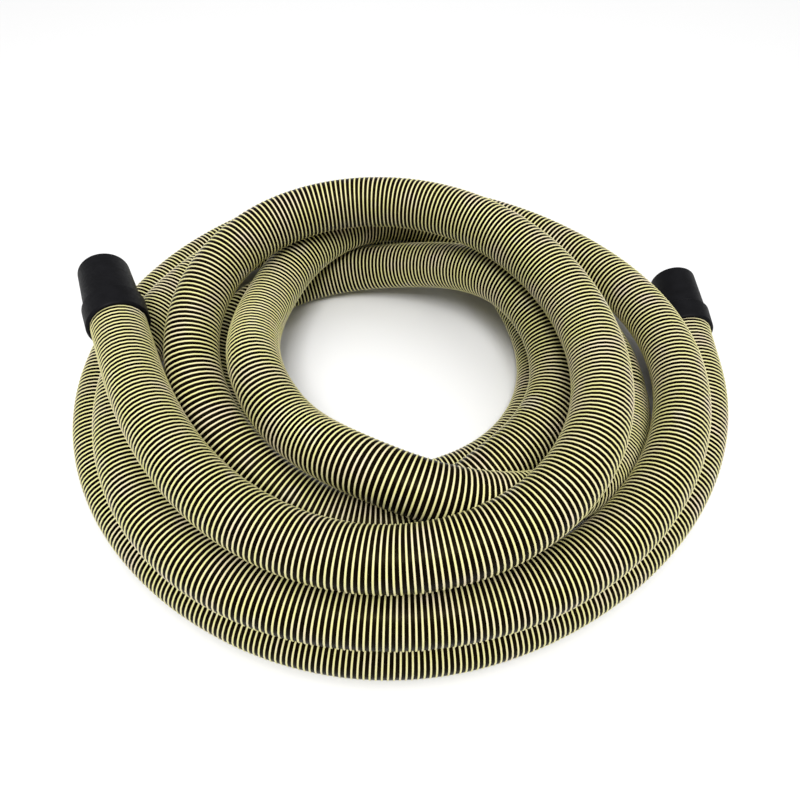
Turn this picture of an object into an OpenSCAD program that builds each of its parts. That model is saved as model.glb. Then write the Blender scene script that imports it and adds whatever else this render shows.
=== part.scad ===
// Coiled pool vacuum hose: a spiral-ribbed hose lying in a pile of loops,
// with a swivel cuff on each end. Millimetres, +Z up, the floor at z = 0.

/* [Hose] */
// Bore of the hose
hose_bore = 38; // [32:0.5:38]
// Wall of the hose between its ribs
hose_wall = 1.5; // [0.8:0.1:1.5]
// Height of a rib above that wall
rib_h = 2; // [0.8:0.1:2]
// Number of ribs drawn along the hose
ribs = 180; // [60:10:180]
// Straight hose in front of each cuff
end_run = 45; // [20:1:60]

/* [Collars] */
// Hose held inside a collar
grip_len = 14; // [12:1:30]
// Wall of a collar
collar_wall = 1; // [0.8:0.1:2]
// Thickness of the collar's end wall, which the hose butts against
collar_end = 1.2; // [0.8:0.1:3]
// Height of the flange that keeps a collar in its cuff
flange_h = 0.7; // [0.5:0.1:2]
// Length of that flange
flange_len = 3; // [2:0.5:5]

/* [Cuffs] */
// Bore of a cuff's nose, which pushes over a fitting
nose_bore = 38.2; // [30:0.1:39]
// Wall of the nose at its mouth
nose_wall = 2.5; // [2:0.1:4]
// What the nose's wall gains from its mouth to the wide end
nose_taper = 1.7; // [0:0.1:2]
// Length of the nose's bore
nose_len = 51.6; // [30:0.2:60]
// Chamfer at each end of that bore
bore_lead = 0.8; // [0.2:0.1:1.5]
// Wall of the cuff outside the collar's flange
cuff_wall = 0.9; // [0.7:0.1:4]
// Wall of the cuff behind the seal
cuff_back = 1.5; // [1:0.5:5]
// Length of the slope between the wide end and the nose
slope_len = 2.5; // [1:0.5:6]
// Length of the lip that closes the cuff round the hose
lip_len = 3; // [2:0.1:6]
// Rounding of that lip
lip_r = 2.4; // [0.5:0.1:2.4]
// Rounding of the nose's edge
nose_r = 1; // [0.3:0.1:1.5]

/* [Seals] */
// Thickness of a seal
seal_len = 2; // [1.5:0.1:5]

/* [Fits] */
// Gap where the cuff turns, round the hose, the collar and its flange
swivel_gap = 0.3; // [0.2:0.05:0.6]
// Gap between the ribs and the collar, and at the hose's end
hose_gap = 0.1; // [0.05:0.05:0.3]
// Gap round a seal
seal_gap = 0.2; // [0.1:0.05:0.5]

/* [Hidden] */
$fn = 96;

// ---- Radii, from the hose's bore outwards ----
bore_r = hose_bore / 2;
valley_r = bore_r + hose_wall;
hose_r = valley_r + rib_h;
hose_d = 2 * hose_r;
collar_in = hose_r + hose_gap;
collar_out = collar_in + collar_wall;
flange_out = collar_out + flange_h;
lip_in = hose_r + swivel_gap;
socket_r = collar_out + swivel_gap;
groove_r = flange_out + swivel_gap;
cuff_r = groove_r + cuff_wall;
nose_in = nose_bore / 2;
nose_out = nose_in + nose_wall;
nose_root = nose_out + nose_taper;

// ---- Stations along an end's axis, from the cuff's edge at the hose ----
collar_start = lip_len + swivel_gap;
hose_stop = collar_start + grip_len;
collar_stop = hose_stop + hose_gap + collar_end;
flange_start = collar_stop - flange_len;
groove_start = flange_start - swivel_gap;
seal_start = collar_stop;
seat = seal_start + seal_len + swivel_gap;
wide_stop = seat + cuff_back;
cuff_len = seat + nose_len;

// ---- The pile's route ----
// One row a turn, one column every 45 degrees, seen from above:
// back-left, left, front-left, front, front-right, right, back-right, back.
// Each value pulls a smooth curve towards itself, as a spline's control does.
turn_r = [
    [311, 190, 173, 179, 186, 159, 145, 167],
    [180, 160, 127, 127, 110, 155, 144, 166],
    [205, 150, 105,  80,  88, 133, 187, 225],
    [138, 104,  90, 103, 168, 226, 230, 250],
    [244, 224, 212, 194, 219, 255, 278, 298],
    [284, 265, 214, 206, 219, 291, 322, 370]];
turn_z = [
    [ 97, 109, 114, 110, 130, 122, 132, 120],
    [116,  96,  64,  40,  61,  64,  97,  28],
    [ 14,  22,  18,  18,  18,  18,  18,  84],
    [ 59, 100,  86, 111,  85,   7,  15,  27],
    [ 40,  58,  67,  63,  72,  72,  23,  16],
    [ 18,  24,  16,  20,  15,  36,  14,  20]];
station_step = 45;
first_station = 135;
// Angles round the pile where the curve takes over from the straight ends
curve_start = 184.5;
curve_stop = 2168;
// Centre height of a strand on the floor: it is flat there by a tenth
floor_z = hose_d * 0.4;
// Middle of the pile's box, seen from its turning centre
pile_mid = [18.3, 41.6];
// Length of a step along the curve when its length is measured
measure_step = 3;
sides = 8;

function flat(rows) = [for (row = rows) for (v = row) v];
r_stations = flat(turn_r);
z_stations = flat(turn_z);

// Uniform cubic B-spline through a list, at a real-valued index u
function spline(list, u) =
    let (i = floor(u), t = u - i)
    (pow(1 - t, 3) * list[i - 1]
        + (3 * pow(t, 3) - 6 * t * t + 4) * list[i]
        + (-3 * pow(t, 3) + 3 * t * t + 3 * t + 1) * list[i + 1]
        + pow(t, 3) * list[i + 2]) / 6;
function curve_at(angle) =
    let (u = (angle - first_station) / station_step, r = spline(r_stations, u))
    [r * cos(angle) - pile_mid.x, r * sin(angle) - pile_mid.y,
     max(floor_z, spline(z_stations, u))];
function unit(v) = v / norm(v);

// Where the two straight ends leave the curve, and where they head
left_root = curve_at(curve_start);
left_dir = unit(left_root - curve_at(curve_start + 1));
right_root = curve_at(curve_stop);
right_dir = unit(right_root - curve_at(curve_stop - 1));
left_end = left_root + left_dir * end_run;
right_end = right_root + right_dir * end_run;

// Length along the curve against the angle, as [length, angle] pairs
measure_n = round((curve_stop - curve_start) / measure_step);
measure_at = [for (i = [0 : measure_n])
    curve_start + (curve_stop - curve_start) * i / measure_n];
measure_pts = [for (a = measure_at) curve_at(a)];
measured = [for (i = 0, s = 0; i <= measure_n;
        s = s + norm(measure_pts[min(i + 1, measure_n)] - measure_pts[i]), i = i + 1)
    [s, measure_at[i]]];
curve_len = measured[measure_n][0];
straight = end_run + hose_stop;
hose_len = curve_len + 2 * straight;

// Point on the hose's centreline, s from its left end
function hose_at(s) =
    s < straight ? left_root + left_dir * (straight - s) :
    s > straight + curve_len ? right_root + right_dir * (s - straight - curve_len) :
    curve_at(lookup(s - straight, measured));

// One ring of points, r out from the centreline and no lower than the floor
function ring(s, r) =
    let (c = hose_at(s), along = unit(hose_at(s + 1) - hose_at(s - 1)),
        side = unit(cross(along, [0, 0, 1])), up = cross(side, along))
    [for (k = [0 : sides - 1])
        let (a = 360 * (k + 0.5) / sides, p = c + r * (cos(a) * side + sin(a) * up))
        [p.x, p.y, max(0, p.z)]];

// Two triangles between neighbouring points of two rings that start at a and b
function strip(a, b, flip) = [for (k = [0 : sides - 1])
    let (j = (k + 1) % sides)
    each flip
        ? [[a + k, b + k, a + j], [a + j, b + k, b + j]]
        : [[a + k, a + j, b + k], [a + j, b + j, b + k]]];

// ---- Least gap of the hose to itself, on its ring centres ----
function to_segment(p, a, b) =
    let (ab = b - a, t = min(1, max(0, (p - a) * ab / (ab * ab))))
    norm(p - a - t * ab);
centre_n = 2 * ribs;
centres = [for (i = [0 : centre_n]) hose_at(hose_len * i / centre_n)];
skip = ceil(2.5 * hose_d / (hose_len / centre_n));
least_gap = min([for (i = [0 : centre_n - skip - 1])
    min([for (j = [i + skip : centre_n - 1])
        to_segment(centres[i], centres[j], centres[j + 1])])]) - hose_d;
echo(hose_length = hose_len, least_gap_to_itself = least_gap);
nose_at = seat + nose_len / 2;
echo(left_axis = left_dir, left_nose = left_end + left_dir * nose_at, nose_bore_r = nose_in);
echo(right_axis = right_dir, right_nose = right_end + right_dir * nose_at);

// ---- Sub-parts ----

// The hose: ribs outside, a bore inside, cut square at both ends
module hose() {
    pitch = hose_len / ribs;
    outer_n = 2 * ribs;
    outer = [for (i = [0 : outer_n])
        each ring(hose_len * i / outer_n, i % 2 == 0 ? valley_r : hose_r)];
    inner = [for (i = [0 : ribs]) each ring(pitch * i, bore_r)];
    base = len(outer);
    last = outer_n * sides;
    color([0.16, 0.16, 0.1]) polyhedron(
        points = concat(outer, inner),
        faces = concat(
            [for (i = [0 : outer_n - 1]) each strip(i * sides, (i + 1) * sides, false)],
            [for (i = [0 : ribs - 1])
                each strip(base + i * sides, base + (i + 1) * sides, true)],
            strip(0, base, true),
            strip(last, base + ribs * sides, false)));
}

// Stands a piece of one end on the hose's axis, its edge at the hose first
module at_end(edge, dir) {
    translate(edge)
        rotate([0, acos(dir.z), atan2(dir.y, dir.x)])
            children();
}

// Quarter of a round edge as points, from angle a to a + 90
function corner(c, r, a) = [for (t = [0 : 15 : 90]) c + r * [cos(a + t), sin(a + t)]];

// The collar that holds the hose's end and turns in the cuff
module collar() {
    color([0.08, 0.08, 0.09]) rotate_extrude() polygon([
        [collar_in, collar_start],
        [collar_out, collar_start],
        [collar_out, flange_start],
        [flange_out, flange_start],
        [flange_out, collar_stop],
        [bore_r, collar_stop],
        [bore_r, hose_stop + hose_gap],
        [collar_in, hose_stop + hose_gap]]);
}

// The cuff: a wide end that snaps over the collar, closed round the hose, and a nose
module cuff() {
    color([0.11, 0.11, 0.12]) rotate_extrude() polygon(concat(
        [[socket_r, groove_start], [socket_r, lip_len], [lip_in, lip_len], [lip_in, 0]],
        corner([cuff_r - lip_r, lip_r], lip_r, -90),
        [[cuff_r, wide_stop], [nose_root, wide_stop + slope_len]],
        corner([nose_out - nose_r, cuff_len - nose_r], nose_r, 0),
        [[nose_in + bore_lead, cuff_len], [nose_in, cuff_len - bore_lead],
         [nose_in, seat + bore_lead], [nose_in + bore_lead, seat],
         [groove_r, seat], [groove_r, groove_start]]));
}

// The flat seal between the collar's end and the cuff's seat
module seal() {
    color([0.2, 0.2, 0.2]) translate([0, 0, seal_start]) difference() {
        cylinder(h = seal_len, r = groove_r - seal_gap);
        translate([0, 0, -1]) cylinder(h = seal_len + 2, r = nose_in + seal_gap);
    }
}

hose();
at_end(left_end, left_dir) collar();  // left_collar
at_end(left_end, left_dir) cuff();  // left_cuff
at_end(left_end, left_dir) seal();  // left_seal
at_end(right_end, right_dir) collar();  // right_collar
at_end(right_end, right_dir) cuff();  // right_cuff
at_end(right_end, right_dir) seal();  // right_seal
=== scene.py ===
"""Coiled pool vacuum hose: a black wall with a pale yellow spiral rib, and a black cuff on each end.

Everything is in metres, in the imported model's frame: +Z up, the floor at z = 0, -Y towards the camera.
"""
import math

import bpy
import numpy as np
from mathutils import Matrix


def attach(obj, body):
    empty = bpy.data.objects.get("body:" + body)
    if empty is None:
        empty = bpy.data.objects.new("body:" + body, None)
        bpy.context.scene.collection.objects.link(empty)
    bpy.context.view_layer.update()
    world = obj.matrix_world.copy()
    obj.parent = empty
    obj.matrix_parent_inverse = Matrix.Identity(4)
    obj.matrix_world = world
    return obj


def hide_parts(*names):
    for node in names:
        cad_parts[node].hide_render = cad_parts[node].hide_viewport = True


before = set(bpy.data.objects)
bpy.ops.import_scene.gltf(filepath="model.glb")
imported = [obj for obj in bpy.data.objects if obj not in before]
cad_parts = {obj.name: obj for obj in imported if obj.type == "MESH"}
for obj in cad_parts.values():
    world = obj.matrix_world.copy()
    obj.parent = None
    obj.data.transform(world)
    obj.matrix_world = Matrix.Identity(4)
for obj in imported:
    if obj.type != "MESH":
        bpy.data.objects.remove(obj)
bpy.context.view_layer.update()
scene = bpy.context.scene
MM = 0.001

# ---- Camera, at the photograph's viewing angle ----
CAMERA_AT = (-0.0055, -0.3778, 0.5161)
CAMERA_PITCH = 55  # degrees down from level
CAMERA_LENS = 29.5  # mm on a 36 mm sensor

camera_data = bpy.data.cameras.new("camera")
camera_data.lens = CAMERA_LENS
camera_data.sensor_width = 36
camera = bpy.data.objects.new("camera", camera_data)
camera.location = CAMERA_AT
camera.rotation_euler = (math.radians(90 - CAMERA_PITCH), 0, 0)
scene.collection.objects.link(camera)
scene.camera = camera

# ---- The hose's route, as the part's source has it, in millimetres ----
# One row a turn, one column every 45 degrees, seen from above:
# back-left, left, front-left, front, front-right, right, back-right, back.
TURN_R = [
    [311, 190, 173, 179, 186, 159, 145, 167],
    [180, 160, 127, 127, 110, 155, 144, 166],
    [205, 150, 105, 80, 88, 133, 187, 225],
    [138, 104, 90, 103, 168, 226, 230, 250],
    [244, 224, 212, 194, 219, 255, 278, 298],
    [284, 265, 214, 206, 219, 291, 322, 370],
]
TURN_Z = [
    [97, 109, 114, 110, 130, 122, 132, 120],
    [116, 96, 64, 40, 61, 64, 97, 28],
    [14, 22, 18, 18, 18, 18, 18, 84],
    [59, 100, 86, 111, 85, 7, 15, 27],
    [40, 58, 67, 63, 72, 72, 23, 16],
    [18, 24, 16, 20, 15, 36, 14, 20],
]
STATION_STEP = 45
FIRST_STATION = 135
CURVE_START, CURVE_STOP = 184.5, 2168
PILE_MID = (18.3, 41.6)
HOSE_R = 22.5
BORE_R = 19.0
FLOOR_Z = 0.4 * 2 * HOSE_R  # lowest the centreline goes: the hose lies a little flat on the floor
END_RUN = 45.0  # straight hose in front of each cuff
IN_CUFF = 17.3  # hose inside a cuff
CURVE_POINTS = 8001  # how finely the route is followed when its length is measured

# ---- The spiral: a low rounded rib wound round a smooth wall ----
# Its pitch in millimetres, laid out as the tables above: it opens and closes along the hose
PITCH = [
    [4.0, 4.0, 3.8, 4.0, 3.8, 3.6, 3.9, 4.3],
    [4.3, 4.1, 4.2, 4.2, 4.0, 3.7, 3.9, 4.4],
    [4.4, 4.4, 4.4, 4.3, 4.1, 4.0, 4.0, 4.2],
    [4.6, 4.1, 4.2, 4.1, 4.0, 4.1, 4.1, 4.2],
    [4.2, 4.1, 4.2, 4.1, 3.9, 4.6, 5.3, 4.8],
    [4.2, 4.0, 4.0, 4.0, 4.1, 4.1, 4.1, 4.1],
]
SIDES = 24  # points in one turn round the hose
RIB_HALF = 0.19  # half the width of the rib, in pitches
WALL_R = 21.95  # outside of the wall between the ribs
# The rib's section: distance along the hose from its middle in half widths, and radius
RIB_SECTION = [
    (-1.0, 21.8),
    (-0.75, 22.3),
    (0.0, HOSE_R),
    (0.75, 22.3),
    (1.0, 21.8),
]
RIB_PIECES = 3
BARE_TURNS = 2  # whole turns of wall without a rib at each end, inside the cuffs
WALL_ROWS = 2  # rows of wall points in a turn, one along each foot of the rib
BORE_RINGS = 180
FLAT_SOFTNESS = 3.0  # how softly the hose goes flat where it lies on the floor


def spline(values, u):
    """Uniform cubic B-spline through a list, at real-valued indices."""
    i = np.floor(u).astype(int)
    t = u - i
    return (
        (1 - t) ** 3 * values[i - 1]
        + (3 * t**3 - 6 * t**2 + 4) * values[i]
        + (-3 * t**3 + 3 * t**2 + 3 * t + 1) * values[i + 1]
        + t**3 * values[i + 2]
    ) / 6


def curve_at(angle):
    """Points of the hose's centreline at these angles round the pile."""
    u = (np.asarray(angle, float) - FIRST_STATION) / STATION_STEP
    r = spline(np.ravel(TURN_R).astype(float), u)
    z = spline(np.ravel(TURN_Z).astype(float), u)
    a = np.radians(angle)
    x = r * np.cos(a) - PILE_MID[0]
    y = r * np.sin(a) - PILE_MID[1]
    return np.stack([x, y, np.maximum(FLOOR_Z, z)], -1)


def unit(v):
    """Vectors of the same directions and length 1."""
    return v / np.linalg.norm(v, axis=-1, keepdims=True)


def centreline():
    """The whole centreline as closely set points, and the length and the rib's turns up to each."""
    angles = np.linspace(CURVE_START, CURVE_STOP, CURVE_POINTS)
    curve = curve_at(angles)
    left_dir = unit(curve[0] - curve_at(CURVE_START + 1))
    right_dir = unit(curve[-1] - curve_at(CURVE_STOP - 1))
    straight = END_RUN + IN_CUFF
    points = np.vstack([
        curve[:1] + left_dir * straight,
        curve,
        curve[-1:] + right_dir * straight,
    ])
    steps = np.linalg.norm(np.diff(points, axis=0), axis=1)
    pitch = spline(np.ravel(PITCH), (angles - FIRST_STATION) / STATION_STEP)
    turns = steps / np.concatenate([pitch[:1], pitch])
    return points, np.concatenate([[0], np.cumsum(steps)]), np.concatenate([[0], np.cumsum(turns)])


LINE, LINE_S, LINE_TURN = centreline()
LENGTH = LINE_S[-1]


def on_line(s):
    """Points of the centreline at these lengths along the hose."""
    return np.stack([np.interp(s, LINE_S, LINE[:, k]) for k in range(3)], -1)


def at_turn(turn):
    """Length along the hose at which the rib has made this many turns."""
    return np.interp(turn, LINE_TURN, LINE_S)


def surface(s, turn, r):
    """Points at length s, angle turn round the hose (in turns) and radius r, in metres."""
    centre = on_line(s)
    along = unit(on_line(np.minimum(s + 1, LENGTH)) - on_line(np.maximum(s - 1, 0)))
    side = unit(np.cross(along, [0, 0, 1]))
    up = np.cross(side, along)
    a = 2 * np.pi * turn[..., None]
    p = centre + r[..., None] * (np.cos(a) * side + np.sin(a) * up)
    p[..., 2] = 0.5 * (p[..., 2] + np.hypot(p[..., 2], FLAT_SOFTNESS))
    return p * MM


def make_piece(name, points, faces, body):
    """A smooth-shaded mesh object that moves with a CAD body."""
    mesh = bpy.data.meshes.new(name)
    mesh.from_pydata(points, [], faces)
    mesh.polygons.foreach_set("use_smooth", [True] * len(mesh.polygons))
    mesh.update()
    piece = bpy.data.objects.new(name, mesh)
    scene.collection.objects.link(piece)
    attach(piece, body)
    return piece


def wall_mesh():
    """The wall's outside follows the spiral, row by row; its bore is plain rings."""
    offsets = np.array([RIB_HALF, 1 - RIB_HALF])
    row = np.arange((int(LINE_TURN[-1]) + 2) * WALL_ROWS)[:, None]
    col = np.arange(SIDES)[None, :]
    s = at_turn(row // WALL_ROWS - 1 + col / SIDES + offsets[row % WALL_ROWS])
    turn = np.broadcast_to(col / SIDES, s.shape)
    outside = surface(s, turn, np.full(s.shape, WALL_R)).reshape(-1, 3)

    # Points cut off by an end become one point of that end's ring
    index = np.arange(s.size).reshape(s.shape)
    ring_turn = np.arange(SIDES) / SIDES
    ring_r = np.full(SIDES, WALL_R)
    rings = [surface(np.full(SIDES, at), ring_turn, ring_r) for at in (0.0, LENGTH)]
    first, last = s.size, s.size + SIDES
    index = np.where(s <= 0, first + col, index)
    index = np.where(s >= LENGTH, last + col, index)

    bore_s = np.linspace(0, LENGTH, BORE_RINGS)[:, None] + np.zeros((1, SIDES))
    bore_turn = np.broadcast_to(col / SIDES, bore_s.shape)
    bore = surface(bore_s, bore_turn, np.full(bore_s.shape, BORE_R)).reshape(-1, 3)
    base = s.size + 2 * SIDES
    points = np.vstack([outside, *rings, bore])

    # The next column after the last one is the first, a whole turn further on
    right = np.concatenate([index[:-WALL_ROWS, 1:], index[WALL_ROWS:, :1]], axis=1)
    left = index[:-WALL_ROWS]
    quads = np.stack([left[:-1], right[:-1], right[1:], left[1:]], -1).reshape(-1, 4)
    faces = []
    for quad in quads.tolist():
        corners = [p for k, p in enumerate(quad) if p != quad[k - 1]]
        if len(set(corners)) > 2:
            faces.append(corners)
    for i in range(BORE_RINGS - 1):
        for j in range(SIDES):
            a, b = base + i * SIDES + j, base + i * SIDES + (j + 1) % SIDES
            faces.append([a, a + SIDES, b + SIDES, b])
    far_bore = base + (BORE_RINGS - 1) * SIDES
    for j in range(SIDES):
        k = (j + 1) % SIDES
        faces.append([first + j, base + j, base + k, first + k])
        faces.append([last + j, last + k, far_bore + k, far_bore + j])
    used = np.unique(np.concatenate([np.array(f) for f in faces]))
    renumber = np.full(len(points), -1)
    renumber[used] = np.arange(len(used))
    faces = [[int(renumber[p]) for p in f] for f in faces]
    return points[used], faces


def rib_mesh(start, stop):
    """A stretch of the rib, from one whole turn to another: one closed bar."""
    count = (stop - start) * SIDES
    turn = start + np.arange(count + 1) / SIDES
    along, radius = np.array(RIB_SECTION).T
    k = len(RIB_SECTION)
    s = at_turn(turn[:, None] + RIB_HALF * along[None, :])
    all_turns = np.broadcast_to(turn[:, None], s.shape)
    r = np.broadcast_to(radius[None, :], s.shape)
    points = surface(s, all_turns, r).reshape(-1, 3)
    ring = np.arange(count)[:, None] * k
    here = ring + np.arange(k)[None, :]
    beside = ring + (np.arange(k)[None, :] + 1) % k
    quads = np.stack([here, here + k, beside + k, beside], -1).reshape(-1, 4)
    end = count * k
    caps = [list(range(k)), list(range(end + k - 1, end - 1, -1))]
    return points, quads.tolist() + caps


hose_wall = make_piece("hose_wall", *wall_mesh(), "hose")
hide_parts("hose")

last_turn = int(LINE_TURN[-1]) - BARE_TURNS
rib_ends = np.linspace(BARE_TURNS, last_turn, RIB_PIECES + 1).astype(int).tolist()
hose_ribs = [
    make_piece(f"hose_rib_{i + 1}", *rib_mesh(rib_ends[i], rib_ends[i + 1]), "hose")
    for i in range(RIB_PIECES)
]


# ---- Materials ----
def new_material(name, **sockets):
    """A material whose Principled shader has these plain values."""
    material = bpy.data.materials.new(name)
    material.use_nodes = True
    shader = material.node_tree.nodes["Principled BSDF"]
    for socket, value in sockets.items():
        shader.inputs[socket.replace("_", " ")].default_value = value
    return material, material.node_tree, shader


def object_noise(tree, scale, detail=3.0):
    """Noise in the object's own coordinates; scale is in repeats a metre."""
    coords = tree.nodes.new("ShaderNodeTexCoord")
    noise = tree.nodes.new("ShaderNodeTexNoise")
    noise.inputs["Scale"].default_value = scale
    noise.inputs["Detail"].default_value = detail
    tree.links.new(coords.outputs["Object"], noise.inputs["Vector"])
    return noise.outputs["Fac"]


def ramp(tree, factor, stops):
    """A colour ramp of (position, colour) stops."""
    node = tree.nodes.new("ShaderNodeValToRGB")
    elements = node.color_ramp.elements
    while len(elements) < len(stops):
        elements.new(0.5)
    for element, (position, colour) in zip(elements, stops):
        element.position = position
        element.color = (*colour, 1)
    tree.links.new(factor, node.inputs["Fac"])
    return node.outputs["Color"]


def remap(tree, value, low, high):
    """Noise, which stays near its middle, spread from low to high."""
    node = tree.nodes.new("ShaderNodeMapRange")
    node.inputs["From Min"].default_value = 0.3
    node.inputs["From Max"].default_value = 0.7
    node.inputs["To Min"].default_value = low
    node.inputs["To Max"].default_value = high
    tree.links.new(value, node.inputs["Value"])
    return node.outputs["Result"]


def bump(tree, shader, height, distance, strength=1.0):
    """Relief this deep, in metres, on the shader's normal."""
    node = tree.nodes.new("ShaderNodeBump")
    node.inputs["Distance"].default_value = distance
    node.inputs["Strength"].default_value = strength
    tree.links.new(height, node.inputs["Height"])
    tree.links.new(node.outputs["Normal"], shader.inputs["Normal"])


def wall_material():
    """Glossy black plastic, a little brown, with a drawn surface."""
    material, tree, shader = new_material(
        "hose_black", Specular_IOR_Level=0.02, Specular_Tint=(1, 0.8, 0.4, 1)
    )
    colour = ramp(tree, object_noise(tree, 60), [
        (0.3, (0.0022, 0.0012, 0.0004)),
        (0.7, (0.0055, 0.0035, 0.0012)),
    ])
    tree.links.new(colour, shader.inputs["Base Color"])
    tree.links.new(remap(tree, object_noise(tree, 150), 0.24, 0.38), shader.inputs["Roughness"])
    bump(tree, shader, object_noise(tree, 900, 2.0), 0.00008)
    return material


def rib_material():
    """Pale yellow plastic that drifts between cream and greenish yellow."""
    material, tree, shader = new_material("rib_yellow", Specular_IOR_Level=0.4)
    colour = ramp(tree, object_noise(tree, 35, 4.0), [
        (0.30, (0.78, 0.67, 0.46)),
        (0.45, (0.78, 0.72, 0.38)),
        (0.60, (0.76, 0.72, 0.31)),
        (0.72, (0.80, 0.73, 0.49)),
    ])
    tree.links.new(colour, shader.inputs["Base Color"])
    tree.links.new(remap(tree, object_noise(tree, 220), 0.34, 0.5), shader.inputs["Roughness"])
    bump(tree, shader, object_noise(tree, 1400, 2.0), 0.00005)
    return material


def moulded_material(name, dark, pale, roughness):
    """Black moulded plastic with a fine matt grain."""
    material, tree, shader = new_material(name, Specular_IOR_Level=0.08)
    colour = ramp(tree, object_noise(tree, 90), [(0.3, dark), (0.7, pale)])
    tree.links.new(colour, shader.inputs["Base Color"])
    spread = remap(tree, object_noise(tree, 400), roughness - 0.06, roughness + 0.08)
    tree.links.new(spread, shader.inputs["Roughness"])
    bump(tree, shader, object_noise(tree, 2500, 3.0), 0.00003, 0.6)
    return material


def dress(piece, material):
    """Gives a piece this one material."""
    piece.data.materials.clear()
    piece.data.materials.append(material)


dress(hose_wall, wall_material())
yellow = rib_material()
for rib in hose_ribs:
    dress(rib, yellow)

CAD_FINISHES = {
    "cuff": moulded_material("cuff_black", (0.0035, 0.0035, 0.0045), (0.006, 0.006, 0.0075), 0.5),
    "collar": moulded_material("collar_black", (0.012, 0.012, 0.012), (0.02, 0.02, 0.02), 0.45),
    "seal": moulded_material("seal_rubber", (0.02, 0.02, 0.02), (0.035, 0.034, 0.032), 0.75),
}
for side in ("left", "right"):
    for kind, material in CAD_FINISHES.items():
        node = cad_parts[f"{side}_{kind}"]
        if not node.material_slots:
            node.data.materials.append(material)
        for slot in node.material_slots:
            slot.material = material

# ---- Floor and light ----
FLOOR_SIZE = 12
LIGHT_AIM = (0, 0, 0.05)  # near the middle of the pile
floor_mesh = bpy.data.meshes.new("floor")
half = FLOOR_SIZE / 2
floor_mesh.from_pydata(
    [(-half, -half, 0), (half, -half, 0), (half, half, 0), (-half, half, 0)], [], [(0, 1, 2, 3)]
)
floor = bpy.data.objects.new("floor", floor_mesh)
scene.collection.objects.link(floor)
floor_material, _, _ = new_material("floor_white", Base_Color=(0.82, 0.82, 0.82, 1), Roughness=0.9)
dress(floor, floor_material)

world = bpy.data.worlds.new("studio")
world.use_nodes = True
world.node_tree.nodes["Background"].inputs["Color"].default_value = (1, 1, 1, 1)
world.node_tree.nodes["Background"].inputs["Strength"].default_value = 0.4
scene.world = world
scene.view_settings.view_transform = "Standard"


def light_from(name, kind, at, power, **settings):
    """A light that looks at the pile's middle from this place."""
    data = bpy.data.lights.new(name, kind)
    data.energy = power
    for setting, value in settings.items():
        setattr(data, setting, value)
    light = bpy.data.objects.new(name, data)
    light.location = at
    aim = np.array(LIGHT_AIM) - np.array(at)
    light.rotation_euler = (
        math.acos(-aim[2] / np.linalg.norm(aim)),
        0,
        math.atan2(aim[1], aim[0]) - math.pi / 2,
    )
    scene.collection.objects.link(light)


light_from("key", "AREA", (-0.05, -0.85, 1.9), 26, size=0.65)
light_from("top", "SUN", (0.1, 0.2, 2.0), 1.65, angle=math.radians(60))
